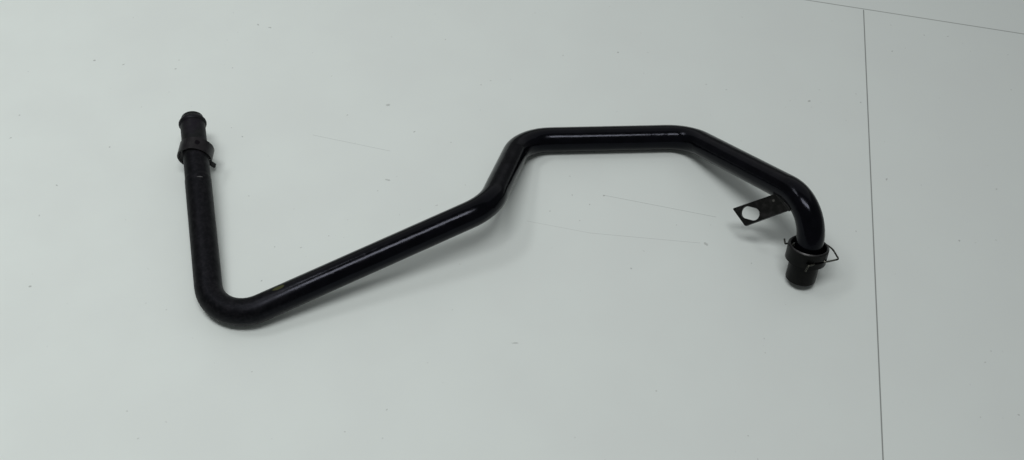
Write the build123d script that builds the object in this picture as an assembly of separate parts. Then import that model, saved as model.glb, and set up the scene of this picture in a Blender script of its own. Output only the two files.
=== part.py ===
from build123d import *
import math
import os

# A bent steel coolant pipe, lying on the floor as it comes to rest.
# X runs along the pipe, Y points away from the hose leg's low bend towards the hose end,
# Z is up and the floor is Z = 0. Millimetres and degrees.

# Tube
tube_od = 20.0
tube_wall = 1.5
bend_radius = 30.0
drop_bend_radius = 28.8

# Route, leg by leg: length in plan, heading from +X and rise
hose_leg_run = 198.1
hose_leg_heading = 103.1
hose_leg_rise = 18.4
long_leg_run = 213.1
long_leg_heading = 24.15
long_leg_rise = 32.2
fall_leg_run = 99.6
fall_leg_heading = 75.9
floor_leg_run = 134.9
floor_leg_heading = 1.7
climb_leg_run = 141.1
climb_leg_heading = -57.8
drop_length = 62.6
drop_heading = -105.9
drop_dip = 70.9

# Hose nipple, swaged down from the tube and beaded at its tip
nipple_od = 19.4
nipple_length = 64.5
swage_length = 2.5
bead_od = 21.8
bead_width = 4.6
bead_to_tip = 3.8
tip_taper = 1.2

# Collar rolled on the tube's other end, and how far that end goes past it
collar_od = 25.2
collar_width = 1.8
tube_end_past_collar = 1.5

# Push-on connector
head_od = 29.6
head_length = 12.6
head_chamfer = 1.0
mouth_bore = 25.8
mouth_lead_in = 0.6
stub_od = 22.0
stub_bore = 17.0
stub_length = 16.6
stub_chamfer = 0.5
shoulder_thickness = 1.5

# Seal ring squeezed between the collar and the connector's shoulder
seal_section = 1.6
seal_gap = 0.05

# Wire clip through the connector's two side windows
wire_d = 1.3
wire_bend_radius = 1.5
clip_depth = 6.7
clip_turn = 40.9
clip_clearance = 0.3
clip_leg_spacing = 29.8
clip_bow_spacing = 24.4
clip_bow_length = 6.4
clip_bow_ramp = 2.6
clip_leg_reach = 17.2
clip_bail_bow = 5.6
clip_bail_radius = 2.6
clip_front_tail = 4.6
clip_back_tail = 2.8
clip_hook_length = 1.8
clip_hook_drop = 4.6
window_side_gap = 0.45
cut_over = 1.0

# Flat strip, its end coped and welded to the side of the drop bend
bracket_at = 24.7
bracket_thickness = 2.2
bracket_sink = 7.4
bracket_tilt = 26.6
bracket_lean = 25.6
bracket_length = 48.2
bracket_root = 6.0
bracket_root_width = 14.8
bracket_end_width = 16.0
bracket_end_skew = 24.0
bracket_corner = 0.7
slot_width = 9.2
slot_length = 16.2
slot_turn = 31.0
slot_from_end = 9.8
weld_radius = 1.8

# Spring band clamp left hanging on the nipple
clamp_bore = 24.4
clamp_band = 1.2
clamp_width = 11.0
clamp_from_tip = 35.2
clamp_hang_gap = 0.72
clamp_yaw = -15.0
clamp_roll = -26.0
clamp_tongue_width = 4.0
clamp_fork_gap = 0.7
clamp_fork_root = 36.0
clamp_tongue_root = 19.0
clamp_ear_angle = 12.0
clamp_ear_height = 6.6
clamp_ear_corner = 0.8

# Sizes that follow from those above
tube_r = tube_od / 2
tube_bore_r = tube_r - tube_wall
nipple_r = nipple_od / 2
nipple_bore_r = nipple_r - tube_wall
collar_r = collar_od / 2
head_r = head_od / 2
mouth_r = mouth_bore / 2
stub_r = stub_od / 2
wire_r = wire_d / 2
connector_length = head_length + stub_length
collar_depth = clip_depth + wire_r + clip_clearance
collar_end_depth = collar_depth + collar_width
shoulder_depth = head_length - shoulder_thickness
tube_end_depth = collar_end_depth + tube_end_past_collar
up = Vector(0, 0, 1)


def leg(run, heading, rise):
    """Vector of one leg from its length in plan, its heading and its rise."""
    turn = math.radians(heading)
    return Vector(run * math.cos(turn), run * math.sin(turn), rise)


def turned(frame, angle):
    """The same frame, turned about its own Z."""
    x_dir = frame.x_dir.rotate(Axis(frame.origin, frame.z_dir), angle)
    return Plane(origin=frame.origin, x_dir=x_dir, z_dir=frame.z_dir)


def lowest_of_bend(to_last, to_next, radius):
    """Height, from the corner, of the lowest centreline point of the bend there."""
    back, ahead = to_last.normalized(), to_next.normalized()
    half = math.radians(back.get_angle(ahead)) / 2
    centre = (back + ahead).normalized() * (radius / math.sin(half))
    normal = back.cross(ahead).normalized()
    return centre.Z - radius * math.sqrt(1 - normal.Z**2)


def drop_direction():
    """Direction of the last leg, down towards the floor."""
    dip = math.radians(drop_dip)
    return leg(math.cos(dip), drop_heading, -math.sin(dip))


def rim_height():
    """Height of the stub's end centre with its rim on the floor."""
    dip = math.radians(drop_dip)
    on_wall = stub_r * math.cos(dip) - stub_chamfer * math.sin(dip)
    on_face = (stub_r - stub_chamfer) * math.cos(dip)
    return max(on_wall, on_face)


def corners():
    """Centreline corners from the nipple's tip to the end of the connector's stub."""
    to_tip = leg(hose_leg_run, hose_leg_heading, hose_leg_rise)
    to_crest = leg(long_leg_run, long_leg_heading, long_leg_rise)
    heel = up * (tube_r - lowest_of_bend(to_tip, to_crest, bend_radius))
    crest = heel + to_crest
    foot = crest + leg(fall_leg_run, fall_leg_heading, tube_r - crest.Z)
    shoulder = foot + leg(floor_leg_run, floor_leg_heading, 0)
    crown_height = drop_length * math.sin(math.radians(drop_dip)) + rim_height()
    crown = shoulder + leg(climb_leg_run, climb_leg_heading, crown_height - tube_r)
    stub_end = crown + drop_direction() * drop_length
    return heel + to_tip, heel, crest, foot, shoulder, crown, stub_end


tip, heel, crest, foot, shoulder, crown, stub_end = corners()
hose_axis = (tip - heel).normalized()
drop_axis = drop_direction()
nipple_start = tip - hose_axis * nipple_length
mouth = stub_end - drop_axis * connector_length
tube_end = mouth + drop_axis * tube_end_depth

# Frame of the nipple: Y of the frame is the way up, square to the nipple
nipple_frame = Plane(origin=nipple_start, x_dir=hose_axis.cross(up) * -1, z_dir=hose_axis)

# Frame of the connector: Z into it from the mouth, X the way the clip pulls out
connector_level = Plane(origin=mouth, x_dir=up.cross(drop_axis), z_dir=drop_axis)
connector_frame = turned(connector_level, -clip_turn)


def revolved(outline, frame):
    """Solid of revolution about a frame's Z from an outline of radius and height."""
    face = Plane.XZ * make_face(outline)
    return frame * revolve(face, Axis.Z)


def bent_tube():
    """The tube between the nipple and its end inside the connector."""
    route = FilletPolyline(
        nipple_start,
        heel,
        crest,
        foot,
        shoulder,
        crown,
        tube_end,
        radius=[bend_radius] * 4 + [drop_bend_radius],
    )
    section = Plane(origin=nipple_start, z_dir=hose_axis * -1)
    outside = sweep(section * Circle(tube_r), path=route)
    inside = sweep(section * Circle(tube_bore_r), path=route)
    return outside - inside, outside


def nipple():
    """Swage, straight nipple and rolled bead, with a wall of even thickness."""
    bead_end = nipple_length - bead_to_tip
    bead_start = bead_end - bead_width
    bead_mid = (bead_start + bead_end) / 2
    bead_rise = (bead_od - nipple_od) / 2
    outline = Polyline(
        (nipple_bore_r, bead_start), (nipple_bore_r, swage_length), (tube_bore_r, 0),
        (tube_r, 0), (nipple_r, swage_length), (nipple_r, bead_start),
    )
    outline += ThreePointArc(
        (nipple_r, bead_start), (nipple_r + bead_rise, bead_mid), (nipple_r, bead_end)
    )
    outline += Polyline(
        (nipple_r, bead_end), (nipple_r - tip_taper, nipple_length),
        (nipple_bore_r - tip_taper, nipple_length), (nipple_bore_r, bead_end),
    )
    outline += ThreePointArc(
        (nipple_bore_r, bead_end),
        (nipple_bore_r + bead_rise, bead_mid),
        (nipple_bore_r, bead_start),
    )
    return revolved(outline, nipple_frame)


def collar():
    """Collar rolled out of the tube, which the clip holds behind its upper face."""
    crest_half = collar_width / 2
    outline = Line((tube_r, collar_depth), (collar_r - crest_half, collar_depth))
    outline += ThreePointArc(
        (collar_r - crest_half, collar_depth),
        (collar_r, collar_depth + crest_half),
        (collar_r - crest_half, collar_end_depth),
    )
    outline += Polyline(
        (collar_r - crest_half, collar_end_depth), (tube_r, collar_end_depth),
        (tube_r - tube_wall / 2, collar_end_depth),
        (tube_r - tube_wall / 2, collar_depth), (tube_r, collar_depth),
    )
    return revolved(outline, connector_frame)


def quick_connector():
    """Moulded connector: head with two side windows, inner shoulder and stub."""
    stub_bore_r = stub_bore / 2
    outline = Polyline(
        (mouth_r + mouth_lead_in, 0), (head_r - head_chamfer, 0),
        (head_r, head_chamfer), (head_r, head_length - head_chamfer / 2),
        (head_r - head_chamfer / 2, head_length), (stub_r, head_length),
        (stub_r, connector_length - stub_chamfer), (stub_r - stub_chamfer, connector_length),
        (stub_bore_r, connector_length), (stub_bore_r, shoulder_depth),
        (mouth_r, shoulder_depth), (mouth_r, mouth_lead_in),
        close=True,
    )
    body = revolved(outline, connector_frame)
    window_from = clip_bow_spacing / 2 - wire_r - window_side_gap
    window_deep = head_r - window_from + cut_over
    window = Box(head_od + cut_over, window_deep, wire_d + 2 * clip_clearance)
    for side in (-1, 1):
        middle = side * (window_from + window_deep / 2)
        body -= connector_frame * (Pos(0, middle, clip_depth) * window)
    return body


def seal_ring():
    """Rubber ring on the tube's end, under the collar."""
    ring_r = tube_r + seal_gap + seal_section / 2
    middle = (collar_end_depth + shoulder_depth) / 2
    return connector_frame * (Pos(0, 0, middle) * Torus(ring_r, seal_section / 2))


def retaining_clip():
    """One bent wire: hooked ends, two bowed legs and a bail to pull."""
    leg_y = clip_leg_spacing / 2
    bow_y = clip_bow_spacing / 2
    bow_x = clip_bow_length / 2
    ramp_x = bow_x + clip_bow_ramp

    def half(side, tail):
        tail_x = ramp_x + tail
        hook_x = tail_x + clip_hook_length
        return [
            (-hook_x, side * leg_y, clip_depth + side * clip_hook_drop),
            (-tail_x, side * leg_y, clip_depth),
            (-ramp_x, side * leg_y, clip_depth),
            (-bow_x, side * bow_y, clip_depth),
            (bow_x, side * bow_y, clip_depth),
            (ramp_x, side * leg_y, clip_depth),
            (clip_leg_reach, side * leg_y, clip_depth),
        ]

    bail_middle = (clip_leg_reach + clip_bail_bow, 0, clip_depth)
    points = half(1, clip_front_tail) + [bail_middle] + half(-1, clip_back_tail)[::-1]
    legs = [wire_bend_radius] * 5
    radii = legs + [clip_bail_radius, leg_y, clip_bail_radius] + legs
    wire = FilletPolyline(*points, radius=radii)
    section = Plane(origin=wire @ 0, z_dir=wire % 0)
    return connector_frame * sweep(section * Circle(wire_r), path=wire)


def bracket_plane():
    """Frame on the drop bend: X along the tube, Y inwards off it, Z out of the plate."""
    into = (crown - shoulder).normalized()
    inwards = (drop_axis - into * into.dot(drop_axis)).normalized()
    turn = math.radians(into.get_angle(drop_axis))
    start = crown - into * (drop_bend_radius * math.tan(turn / 2))
    centre = start + inwards * drop_bend_radius
    along = math.radians(bracket_at)
    tangent = into * math.cos(along) + inwards * math.sin(along)
    radial = inwards * math.cos(along) - into * math.sin(along)
    outwards = radial.cross(tangent)
    tilt = math.radians(bracket_tilt)
    face = outwards * math.cos(tilt) - radial * math.sin(tilt)
    seat = centre - radial * drop_bend_radius + face * (tube_r - bracket_sink)
    return turned(Plane(origin=seat, x_dir=tangent * -1, z_dir=face), -bracket_lean)


bracket_frame = bracket_plane()


def mounting_bracket(tube_solid):
    """Flat strip with a slot, coped to the tube, and its weld bead."""
    end_half = bracket_end_width / 2
    root_half = bracket_root_width / 2
    skew = end_half * math.tan(math.radians(bracket_end_skew))
    lean = math.radians(bracket_lean)
    root_skew = root_half * math.tan(lean)
    outline = Polyline(
        (root_half, bracket_root + root_skew), (end_half, bracket_length + skew),
        (-end_half, bracket_length - skew), (-root_half, bracket_root - root_skew),
        close=True,
    )
    blank = make_face(outline)
    free_corners = blank.vertices().sort_by(Axis.Y)[-2:]
    blank = fillet(free_corners, bracket_corner)
    slot = Rot(0, 0, 90 - slot_turn) * SlotOverall(slot_length, slot_width)
    blank -= Pos(0, bracket_length - slot_from_end) * slot
    strip = extrude(blank, bracket_thickness)
    mid_height = tube_r - bracket_sink + bracket_thickness / 2
    seam = math.sqrt(tube_r**2 - mid_height**2) / math.cos(lean)
    weld = Cylinder(weld_radius, bracket_root_width / math.cos(lean), rotation=(0, 90, 0))
    weld = Pos(0, seam, bracket_thickness / 2) * Rot(0, 0, bracket_lean) * weld
    return bracket_frame * (strip + weld) - tube_solid


def band_arc(start, end, width, offset):
    """Stretch of the clamp's band, between angles from its lowest point."""
    inner = clamp_bore / 2
    ring = Circle(inner + clamp_band) - Circle(inner)
    third = (end - start) / 3
    rim = [point_at(clamp_bore, start + third * step) for step in range(4)]
    arc = ring & make_face(Polyline((0, 0), *rim, close=True))
    return Pos(0, 0, offset - width / 2) * extrude(arc, width)


def point_at(radius, angle):
    """Point at a radius and an angle from the clamp's lowest point."""
    turn = math.radians(angle - 90)
    return radius * math.cos(turn), radius * math.sin(turn)


def clamp_ear(angle, width, offset):
    """Ear bent outwards at one end of the band."""
    inner = clamp_bore / 2
    reach = clamp_band + clamp_ear_height
    blade = Box(reach, clamp_band, width, align=(Align.MIN, Align.CENTER, Align.CENTER))
    blade = fillet(blade.edges().filter_by(Axis.Y).sort_by(Axis.X)[-2:], clamp_ear_corner)
    return Pos(0, 0, offset) * Rot(0, 0, angle - 90) * Pos(inner, 0, 0) * blade


def hose_clamp():
    """Spring band: a tongue at one end passes through a fork at the other."""
    finger = (clamp_width - clamp_tongue_width) / 2 - clamp_fork_gap
    finger_at = (clamp_width - finger) / 2
    band = band_arc(clamp_tongue_root, 360 - clamp_fork_root, clamp_width, 0)
    band += band_arc(-clamp_ear_angle, clamp_tongue_root, clamp_tongue_width, 0)
    band += clamp_ear(-clamp_ear_angle, clamp_tongue_width, 0)
    for side in (-1, 1):
        band += band_arc(-clamp_fork_root, clamp_ear_angle, finger, side * finger_at)
        band += clamp_ear(clamp_ear_angle, finger, side * finger_at)
    hang = clamp_bore / 2 - nipple_r - clamp_hang_gap
    place = Pos(0, -hang, nipple_length - clamp_from_tip)
    return nipple_frame * (place * Rot(0, clamp_yaw, 0) * Rot(0, 0, clamp_roll) * band)


def build():
    """All pieces, moved so that the origin is the bottom centre of their box."""
    tube, tube_solid = bent_tube()
    pieces = {
        "main_pipe": tube + nipple() + collar(),
        "mounting_bracket": mounting_bracket(tube_solid),
        "quick_connector": quick_connector(),
        "seal_ring": seal_ring(),
        "retaining_clip": retaining_clip(),
        "hose_clamp": hose_clamp(),
    }
    boxes = [piece.bounding_box() for piece in pieces.values()]
    middle_x = (min(box.min.X for box in boxes) + max(box.max.X for box in boxes)) / 2
    middle_y = (min(box.min.Y for box in boxes) + max(box.max.Y for box in boxes)) / 2
    shift = Vector(-middle_x, -middle_y, -min(box.min.Z for box in boxes))
    return {name: Pos(*shift) * piece for name, piece in pieces.items()}, shift


os.makedirs("parts", exist_ok=True)
pieces, shift = build()
for name, piece in pieces.items():
    export_step(piece, f"parts/{name}.step")
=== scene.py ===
import math

import bpy
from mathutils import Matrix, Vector

# A worn black coolant pipe on a pale table, under two ceiling tubes, before a pale wall.
# Metres, in the CAD part's frame: X along the pipe, Z up, the table at Z = 0.

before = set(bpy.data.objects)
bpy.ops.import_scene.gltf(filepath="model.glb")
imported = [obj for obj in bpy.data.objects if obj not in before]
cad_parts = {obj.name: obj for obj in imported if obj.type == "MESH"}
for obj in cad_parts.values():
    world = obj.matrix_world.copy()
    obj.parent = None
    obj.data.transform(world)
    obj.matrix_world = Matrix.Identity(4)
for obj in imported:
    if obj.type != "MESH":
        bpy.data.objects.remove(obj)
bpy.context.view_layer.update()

# Camera
image_width = 1024
focal_pixels = 1150
sensor_width = 36.0
camera_place = (0.01461, -0.56741, 0.6738)
camera_pitch_down = math.radians(50)

# Light, each panel as its middle, its size and its power in watts
panels = {
    "ceiling_tube": ((-0.10, -0.42, 2.0), (1.15, 0.42), 20.0),
    "far_ceiling_tube": ((-1.0, 0.45, 2.0), (0.6, 0.3), 5.0),
    "back_wall": ((0.2, 1.6, 1.6), (4.0, 2.4), 10.0),
}
sky_colour = (0.97, 1.0, 0.99)
sky_strength = 0.15
backdrop_strength = 0.6

# Lines through the part that its materials follow
nipple_start = Vector((-0.2270, 0.0306, 0.0199))
nipple_tip = Vector((-0.2416, 0.0932, 0.0259))
mouth = Vector((0.2291, -0.0419, 0.0310))
stub_end = Vector((0.2265, -0.0511, 0.0034))

# Stray marks, a dark patch on the clamp band, and painted highlights at the swage and on the
# bracket, each as its middle, its turn about Z and its reach each way
paint_mark = ((-0.1506, -0.0763, 0.0248), math.radians(22), (0.0048, 0.0018, 0.004))
# painted highlight: a small bright spot on the swage step that stands in for a glint of light
swage_painted_highlight = ((-0.2230, 0.0268, 0.0290), math.radians(13), (0.0026, 0.0005, 0.0015))
band_dark_patch = ((-0.2299, 0.0586, 0.0336), math.radians(20), (0.0030, 0.0034, 0.0030))
# painted highlight: a small bright spot on the bracket that stands in for a glint of light
bracket_painted_highlight = ((0.2052, -0.0122, 0.0455), math.radians(-30), (0.0011, 0.0011, 0.0011))
mark_grain = 600
mark_raggedness = 0.5
mark_fades = 1.35
mark_full = 1.0

# Paint: colours in linear light, grain in waves per metre, places in metres
glossy_dark = (0.0005, 0.0006, 0.0011)
glossy_pale = (0.0017, 0.0017, 0.0028)
scoured_dark = (0.0003, 0.0004, 0.0005)
scoured_pale = (0.0064, 0.0060, 0.0069)
bare_green = (0.0068, 0.0080, 0.0070)
bare_violet = (0.0080, 0.0064, 0.0092)
bare_gritty = (0.0130, 0.0125, 0.0135)
dust_colour = (0.020, 0.020, 0.018)
paint_mark_colour = (0.050, 0.052, 0.018)
# colour of the painted highlight on the swage step
swage_painted_highlight_colour = (0.09, 0.09, 0.09)
glossy_mottle = dict(grain=90, detail=5, start=0.35, full=0.7)
paint_grit = dict(grain=280, detail=6, roughness=0.75, distortion=0.6, start=0.43, full=0.62)
nipple_stain = dict(grain=110, detail=4, start=0.4, full=0.6)
dust_grains = dict(grain=1500, detail=2, start=0.62, full=0.78, most=0.4)
paint_roughness = dict(grain=160, detail=4, start=0.3, full=0.75, least=0.11, most=0.2)
orange_peel = dict(grain=700, detail=2, depth=0.00003)
paint_sag = dict(grain=60, detail=2, depth=0.0003)
scoured_from_x, scoured_full_x = -0.105, -0.195
scoured_roughness = 0.34
bare_from, bare_full = 0.016, 0.028
dust_steepest, dust_level = 0.3, 0.95
paint_specular = 0.14
paint_tint = (0.80, 0.83, 1.0)

# Bracket
bracket_dark = (0.0040, 0.0044, 0.0040)
bracket_pale = (0.0130, 0.0125, 0.0125)
# colour of the painted highlight on the bracket
bracket_painted_highlight_colour = (0.06, 0.06, 0.055)
bracket_scuff = dict(grain=240, detail=6, roughness=0.65, start=0.42, full=0.72)
bracket_skin = dict(grain=500, detail=4, depth=0.0001)
bracket_roughness = (0.34, 0.55)
bracket_specular = 0.18

# Connector
plastic_dark = (0.0008, 0.0009, 0.0009)
plastic_pale = (0.0040, 0.0043, 0.0040)
# painted highlight: lighter colour round the mouth rim
rim_highlight_colour = (0.006, 0.006, 0.0065)
plastic_dullness = dict(grain=200, detail=5, start=0.35, full=0.7)
plastic_skin = dict(grain=2200, detail=2, depth=0.00005)
plastic_roughness = (0.34, 0.5)
rim_highlight_from, rim_highlight_full = 0.0008, 0.0004
rim_specular = 0.3
sheen_from, sheen_full = -0.35, 0.05
sheen_specular = 0.13

# Seal ring
rubber_dark = (0.006, 0.006, 0.006)
rubber_pale = (0.014, 0.014, 0.013)
bloom_grain = 400
rubber_skin = dict(grain=1800, depth=0.00003)
rubber_roughness = 0.5

# Clip
wire_dark = (0.03, 0.03, 0.025)
wire_pale = (0.15, 0.15, 0.13)
wire_streak = dict(grain=450, detail=4, start=0.3, full=0.7)
wire_skin = dict(grain=3000, depth=0.00002)
wire_roughness = (0.45, 0.28)

# Clamp
clamp_dark = (0.0045, 0.0040, 0.0052)
clamp_pale = (0.0115, 0.0100, 0.0125)
# a darker, less shiny patch on the clamp band
dark_patch_colour = (0.0014, 0.0006, 0.0024)
clamp_wear = dict(grain=260, detail=5, roughness=0.6, start=0.4, full=0.75)
clamp_skin = dict(grain=900, depth=0.00005)
clamp_roughness = (0.35, 0.5)
clamp_specular = 0.25
dark_patch_specular = 0.1
dark_patch_raggedness = 1.0

# Table
table_size = 6.0
table_left_x, table_right_x = -0.45, 0.5
# the fade from the left colour to the right one is painted shade, standing in for light falling
# off towards the right
table_lit_left_colour = (0.81, 0.875, 0.84)
table_shaded_right_colour = (0.52, 0.56, 0.545)
cloud_colour = (0.45, 0.44, 0.45)
speck_colour = (0.16, 0.16, 0.15)
table_cloud = dict(grain=14, detail=5, start=0.3, full=0.7, most=0.07)
table_speck = dict(grain=190, detail=1, start=0.76, full=0.82, most=0.45)
table_skin = dict(grain=300, depth=0.00003)
table_roughness = 0.7
table_specular = 0.2

# Seams and scratches in the table, each as start, end, half width and darkness
table_lines = {
    "long_seam": ((0.3349, 0.2596), (0.2190, -0.4280), 0.0007, 0.75),
    "far_seam": ((0.0874, 0.3245), (0.8558, 0.1281), 0.0008, 0.60),
    "left_scratch": ((-0.1489, 0.0999), (-0.0844, 0.0817), 0.0003, 0.30),
    "middle_scratch": ((0.0860, 0.0338), (0.1721, 0.0111), 0.0003, 0.38),
    "low_scratch": ((0.0262, 0.0070), (0.0741, -0.0050), 0.0003, 0.22),
    "low_scratch_end": ((0.0741, -0.0050), (0.1571, -0.0149), 0.0003, 0.28),
}
line_colour = (0.10, 0.105, 0.10)
line_core = 1 / 3

# Stains on the table, each as its middle, its turn about Z and its reach each way
table_stains = [
    ((-0.0898, 0.1353, 0), 0.3, (0.0030, 0.0022, 0.01)),
    ((-0.0838, 0.0498, 0), -0.4, (0.0036, 0.0016, 0.01)),
    ((0.1615, -0.0159, 0), -0.8, (0.0034, 0.0018, 0.01)),
    ((0.0167, -0.1063, 0), 0.0, (0.0040, 0.0010, 0.01)),
]
stain_colour = (0.12, 0.12, 0.11)
stain_raggedness = 1.2
stain_darkness = 0.35


def feed(tree, value, socket):
    """Links an output to a socket, or sets a plain colour or number on it."""
    if isinstance(value, bpy.types.NodeSocket):
        tree.links.new(value, socket)
    elif isinstance(value, tuple):
        socket.default_value = (*value, 1.0)
    else:
        socket.default_value = value


def new_material(name):
    """An empty node material and its tree."""
    material = bpy.data.materials.new(name)
    material.use_nodes = True
    return material, material.node_tree


def shade(tree, values):
    """Feeds the material's shader, by the names of its sockets."""
    shader = tree.nodes["Principled BSDF"]
    for name, value in values.items():
        feed(tree, value, shader.inputs[name])


def object_coordinates(tree):
    return tree.nodes.new("ShaderNodeTexCoord").outputs["Object"]


def noise(tree, grain, detail=3.0, roughness=0.5, distortion=0.0):
    """Noise between 0 and 1, with its grain in waves per metre."""
    node = tree.nodes.new("ShaderNodeTexNoise")
    feed(tree, object_coordinates(tree), node.inputs["Vector"])
    node.inputs["Scale"].default_value = grain
    node.inputs["Detail"].default_value = detail
    node.inputs["Roughness"].default_value = roughness
    node.inputs["Distortion"].default_value = distortion
    return node.outputs["Fac"]


def remap(tree, value, low, high, to_low=0.0, to_high=1.0, smooth=True):
    """The value, carried from one range to another and held at its ends."""
    node = tree.nodes.new("ShaderNodeMapRange")
    node.interpolation_type = "SMOOTHSTEP" if smooth else "LINEAR"
    feed(tree, value, node.inputs["Value"])
    node.inputs["From Min"].default_value = low
    node.inputs["From Max"].default_value = high
    node.inputs["To Min"].default_value = to_low
    node.inputs["To Max"].default_value = to_high
    return node.outputs["Result"]


def between(tree, amount, low, high):
    """Number that goes from one to the other as the amount goes from 0 to 1."""
    return remap(tree, amount, 0.0, 1.0, low, high)


def patches(tree, start, full, least=0.0, most=1.0, **grain):
    """Patches that go from least to most as their noise goes from start to full."""
    return remap(tree, noise(tree, **grain), start, full, least, most)


def maths(tree, operation, first, second):
    """One step of arithmetic on outputs or plain numbers."""
    node = tree.nodes.new("ShaderNodeMath")
    node.operation = operation
    feed(tree, first, node.inputs[0])
    feed(tree, second, node.inputs[1])
    return node.outputs["Value"]


def blend_colours(tree, amount, below, above):
    """Colour that goes from one to the other as the amount goes from 0 to 1."""
    node = tree.nodes.new("ShaderNodeMix")
    node.data_type = "RGBA"
    feed(tree, amount, node.inputs["Factor"])
    feed(tree, below, node.inputs["A"])
    feed(tree, above, node.inputs["B"])
    return node.outputs["Result"]


def uneven(tree, depth, below=None, **grain):
    """Normal of an uneven surface of a given depth, laid over another if there is one."""
    node = tree.nodes.new("ShaderNodeBump")
    node.inputs["Strength"].default_value = 1.0
    node.inputs["Distance"].default_value = depth
    feed(tree, noise(tree, **grain), node.inputs["Height"])
    if below is not None:
        feed(tree, below, node.inputs["Normal"])
    return node.outputs["Normal"]


def along(tree, start, end):
    """Place along a line, in metres from its start."""
    away = tree.nodes.new("ShaderNodeVectorMath")
    away.operation = "SUBTRACT"
    feed(tree, object_coordinates(tree), away.inputs[0])
    feed(tree, start, away.inputs[1])
    across = tree.nodes.new("ShaderNodeVectorMath")
    across.operation = "DOT_PRODUCT"
    feed(tree, away.outputs["Vector"], across.inputs[0])
    feed(tree, (end - start).normalized(), across.inputs[1])
    return across.outputs["Value"]


def along_x(tree):
    """Place along the frame's X axis, in metres."""
    split = tree.nodes.new("ShaderNodeSeparateXYZ")
    feed(tree, object_coordinates(tree), split.inputs["Vector"])
    return split.outputs["X"]


def facing_up(tree):
    """How far the surface faces up, from -1 to 1."""
    geometry = tree.nodes.new("ShaderNodeNewGeometry")
    split = tree.nodes.new("ShaderNodeSeparateXYZ")
    feed(tree, geometry.outputs["Normal"], split.inputs["Vector"])
    return split.outputs["Z"]


def spot(tree, mark, raggedness=mark_raggedness):
    """How much of a mark, patch or painted highlight shows, from its middle, its turn and its
    reach each way.
    """
    place, turn, reach = mark
    mapping = tree.nodes.new("ShaderNodeMapping")
    mapping.vector_type = "TEXTURE"
    mapping.inputs["Location"].default_value = place
    mapping.inputs["Rotation"].default_value = (0, 0, turn)
    mapping.inputs["Scale"].default_value = reach
    feed(tree, object_coordinates(tree), mapping.inputs["Vector"])
    length = tree.nodes.new("ShaderNodeVectorMath")
    length.operation = "LENGTH"
    feed(tree, mapping.outputs["Vector"], length.inputs[0])
    ragged = maths(tree, "MULTIPLY", noise(tree, mark_grain), raggedness)
    away = maths(tree, "ADD", length.outputs["Value"], ragged)
    return remap(tree, away, mark_fades, mark_full)


def line_amount(tree, start, end, half_width):
    """How much of a straight line on the table shows, from 0 to 1 at its middle."""
    start, end = Vector((*start, 0)), Vector((*end, 0))
    reach = end - start
    place = remap(tree, along(tree, start, end), 0.0, reach.length, smooth=False)
    nearest = tree.nodes.new("ShaderNodeVectorMath")
    nearest.operation = "MULTIPLY_ADD"
    feed(tree, reach, nearest.inputs[0])
    feed(tree, place, nearest.inputs[1])
    feed(tree, start, nearest.inputs[2])
    away = tree.nodes.new("ShaderNodeVectorMath")
    away.operation = "DISTANCE"
    feed(tree, object_coordinates(tree), away.inputs[0])
    feed(tree, nearest.outputs["Vector"], away.inputs[1])
    return remap(tree, away.outputs["Value"], half_width, half_width * line_core)


def paint_colour(tree, scoured):
    """Black paint, scoured near the hose end, and bare metal on the nipple."""
    grit = patches(tree, **paint_grit)
    glossy_coat = blend_colours(tree, patches(tree, **glossy_mottle), glossy_dark, glossy_pale)
    scoured_coat = blend_colours(tree, grit, scoured_dark, scoured_pale)
    coat = blend_colours(tree, scoured, glossy_coat, scoured_coat)
    metal = blend_colours(tree, patches(tree, **nipple_stain), bare_green, bare_violet)
    metal = blend_colours(tree, grit, metal, bare_gritty)
    bare = remap(tree, along(tree, nipple_start, nipple_tip), bare_from, bare_full)
    return blend_colours(tree, bare, coat, metal)


def with_dust_mark_and_painted_highlight(tree, colour):
    """The colour under dust on its upper side, a stray mark and a painted highlight at the swage.
    """
    level = remap(tree, facing_up(tree), dust_steepest, dust_level)
    dust = maths(tree, "MULTIPLY", patches(tree, **dust_grains), level)
    colour = blend_colours(tree, dust, colour, dust_colour)
    colour = blend_colours(tree, spot(tree, paint_mark), colour, paint_mark_colour)
    # painted highlight at the swage step, laid into the colour
    return blend_colours(tree, spot(tree, swage_painted_highlight), colour, swage_painted_highlight_colour)


def pipe_paint():
    """Glossy black paint, scoured dull near the hose end."""
    material, tree = new_material("pipe_paint")
    scoured = remap(tree, along_x(tree), scoured_from_x, scoured_full_x)
    dulled = maths(tree, "MULTIPLY", scoured, scoured_roughness)
    shade(tree, {
        "Base Color": with_dust_mark_and_painted_highlight(tree, paint_colour(tree, scoured)),
        "Roughness": maths(tree, "ADD", patches(tree, **paint_roughness), dulled),
        "Specular IOR Level": paint_specular,
        "Specular Tint": paint_tint,
        "Normal": uneven(tree, **paint_sag, below=uneven(tree, **orange_peel)),
    })
    return material


def bracket_paint():
    """The same paint, more scuffed, over cut sheet, with a small painted highlight."""
    material, tree = new_material("bracket_paint")
    scuff = patches(tree, **bracket_scuff)
    colour = blend_colours(tree, scuff, bracket_dark, bracket_pale)
    # painted highlight on the bracket, laid into the colour
    bracket_highlight = spot(tree, bracket_painted_highlight)
    shade(tree, {
        "Base Color": blend_colours(tree, bracket_highlight, colour, bracket_painted_highlight_colour),
        "Roughness": between(tree, scuff, *bracket_roughness),
        "Specular IOR Level": bracket_specular,
        "Normal": uneven(tree, **bracket_skin),
    })
    return material


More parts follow.
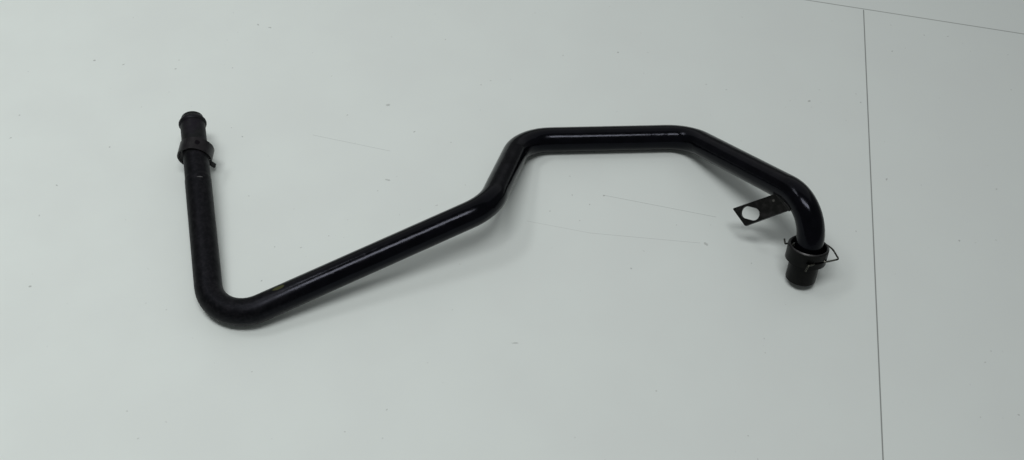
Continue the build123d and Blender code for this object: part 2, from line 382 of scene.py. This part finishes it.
def connector_plastic():
    """Dusty black moulded plastic, its mouth rim painted lighter as a highlight and given more
    shine, dull underneath.
    """
    material, tree = new_material("connector_plastic")
    dull = patches(tree, **plastic_dullness)
    colour = blend_colours(tree, dull, plastic_dark, plastic_pale)
    # painted highlight: the mouth rim is lightened in colour, and its specular is raised
    rim_highlight = remap(tree, along(tree, mouth, stub_end), rim_highlight_from, rim_highlight_full)
    sheen = remap(tree, facing_up(tree), sheen_from, sheen_full, 0.0, sheen_specular)
    rim_shine = maths(tree, "MULTIPLY", rim_highlight, rim_specular)
    shade(tree, {
        "Base Color": blend_colours(tree, rim_highlight, colour, rim_highlight_colour),
        "Roughness": between(tree, dull, *plastic_roughness),
        "Specular IOR Level": maths(tree, "ADD", sheen, rim_shine),
        "Normal": uneven(tree, **plastic_skin),
    })
    return material


def seal_rubber():
    """Smooth black rubber with a bloom."""
    material, tree = new_material("seal_rubber")
    shade(tree, {
        "Base Color": blend_colours(tree, noise(tree, bloom_grain), rubber_dark, rubber_pale),
        "Roughness": rubber_roughness,
        "Normal": uneven(tree, **rubber_skin),
    })
    return material


def clip_wire():
    """Dulled spring wire with dark streaks."""
    material, tree = new_material("clip_wire")
    streak = patches(tree, **wire_streak)
    shade(tree, {
        "Base Color": blend_colours(tree, streak, wire_dark, wire_pale),
        "Metallic": 1.0,
        "Roughness": between(tree, streak, *wire_roughness),
        "Normal": uneven(tree, **wire_skin),
    })
    return material


def clamp_steel():
    """Dark phosphated spring steel, worn a little, with a darker, less shiny patch on its band.
    """
    material, tree = new_material("clamp_steel")
    wear = patches(tree, **clamp_wear)
    colour = blend_colours(tree, wear, clamp_dark, clamp_pale)
    dark_patch = spot(tree, band_dark_patch, dark_patch_raggedness)
    shade(tree, {
        "Base Color": blend_colours(tree, dark_patch, colour, dark_patch_colour),
        "Roughness": between(tree, wear, *clamp_roughness),
        "Specular IOR Level": between(tree, dark_patch, clamp_specular, dark_patch_specular),
        "Normal": uneven(tree, **clamp_skin),
    })
    return material


def scratched_and_stained(tree, colour):
    """The table's colour with its seams, scratches and stains."""
    for start, end, half_width, darkness in table_lines.values():
        line = line_amount(tree, start, end, half_width)
        colour = blend_colours(tree, maths(tree, "MULTIPLY", line, darkness), colour, line_colour)
    for mark in table_stains:
        stain = maths(tree, "MULTIPLY", spot(tree, mark, stain_raggedness), stain_darkness)
        colour = blend_colours(tree, stain, colour, stain_colour)
    return colour


def table_top():
    """Pale worn table, with painted shade that darkens it to the right."""
    material, tree = new_material("table_top")
    # painted shade: the table's colour darkens from left to right
    painted_falloff = remap(tree, along_x(tree), table_left_x, table_right_x, smooth=False)
    colour = blend_colours(tree, painted_falloff, table_lit_left_colour, table_shaded_right_colour)
    colour = blend_colours(tree, patches(tree, **table_cloud), colour, cloud_colour)
    colour = blend_colours(tree, patches(tree, **table_speck), colour, speck_colour)
    shade(tree, {
        "Base Color": scratched_and_stained(tree, colour),
        "Roughness": table_roughness,
        "Specular IOR Level": table_specular,
        "Normal": uneven(tree, **table_skin),
    })
    return material


def dress_frame():
    """Gives each CAD node its material."""
    looks = {
        "main_pipe": pipe_paint(),
        "mounting_bracket": bracket_paint(),
        "quick_connector": connector_plastic(),
        "seal_ring": seal_rubber(),
        "retaining_clip": clip_wire(),
        "hose_clamp": clamp_steel(),
    }
    for name, look in looks.items():
        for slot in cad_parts[name].material_slots:
            slot.material = look


def add_table():
    bpy.ops.mesh.primitive_plane_add(size=table_size, location=(0, 0, 0))
    table = bpy.context.object
    table.name = "table"
    table.data.materials.append(table_top())


def add_panel(name, place, size, power):
    """A soft rectangular light that faces the part."""
    data = bpy.data.lights.new(name, "AREA")
    data.shape = "RECTANGLE"
    data.size, data.size_y = size
    data.energy = power
    lamp = bpy.data.objects.new(name, data)
    lamp.location = place
    lamp.rotation_euler = (-lamp.location).to_track_quat("-Z", "Y").to_euler()
    bpy.context.collection.objects.link(lamp)


def add_lights():
    """Two ceiling tubes, a back wall and a dim room that looks paler than it shines."""
    for name, (place, size, power) in panels.items():
        add_panel(name, place, size, power)
    world = bpy.data.worlds.new("sky")
    world.use_nodes = True
    tree = world.node_tree
    sky = tree.nodes["Background"]
    seen = tree.nodes.new("ShaderNodeLightPath").outputs["Is Camera Ray"]
    feed(tree, sky_colour, sky.inputs["Color"])
    feed(tree, between(tree, seen, sky_strength, backdrop_strength), sky.inputs["Strength"])
    bpy.context.scene.world = world


def add_camera():
    data = bpy.data.cameras.new("camera")
    data.sensor_width = sensor_width
    data.lens = focal_pixels * sensor_width / image_width
    camera = bpy.data.objects.new("camera", data)
    camera.location = camera_place
    camera.rotation_euler = (math.pi / 2 - camera_pitch_down, 0, 0)
    bpy.context.collection.objects.link(camera)
    bpy.context.scene.camera = camera


dress_frame()
add_table()
add_lights()
add_camera()
bpy.context.scene.view_settings.view_transform = "Standard"
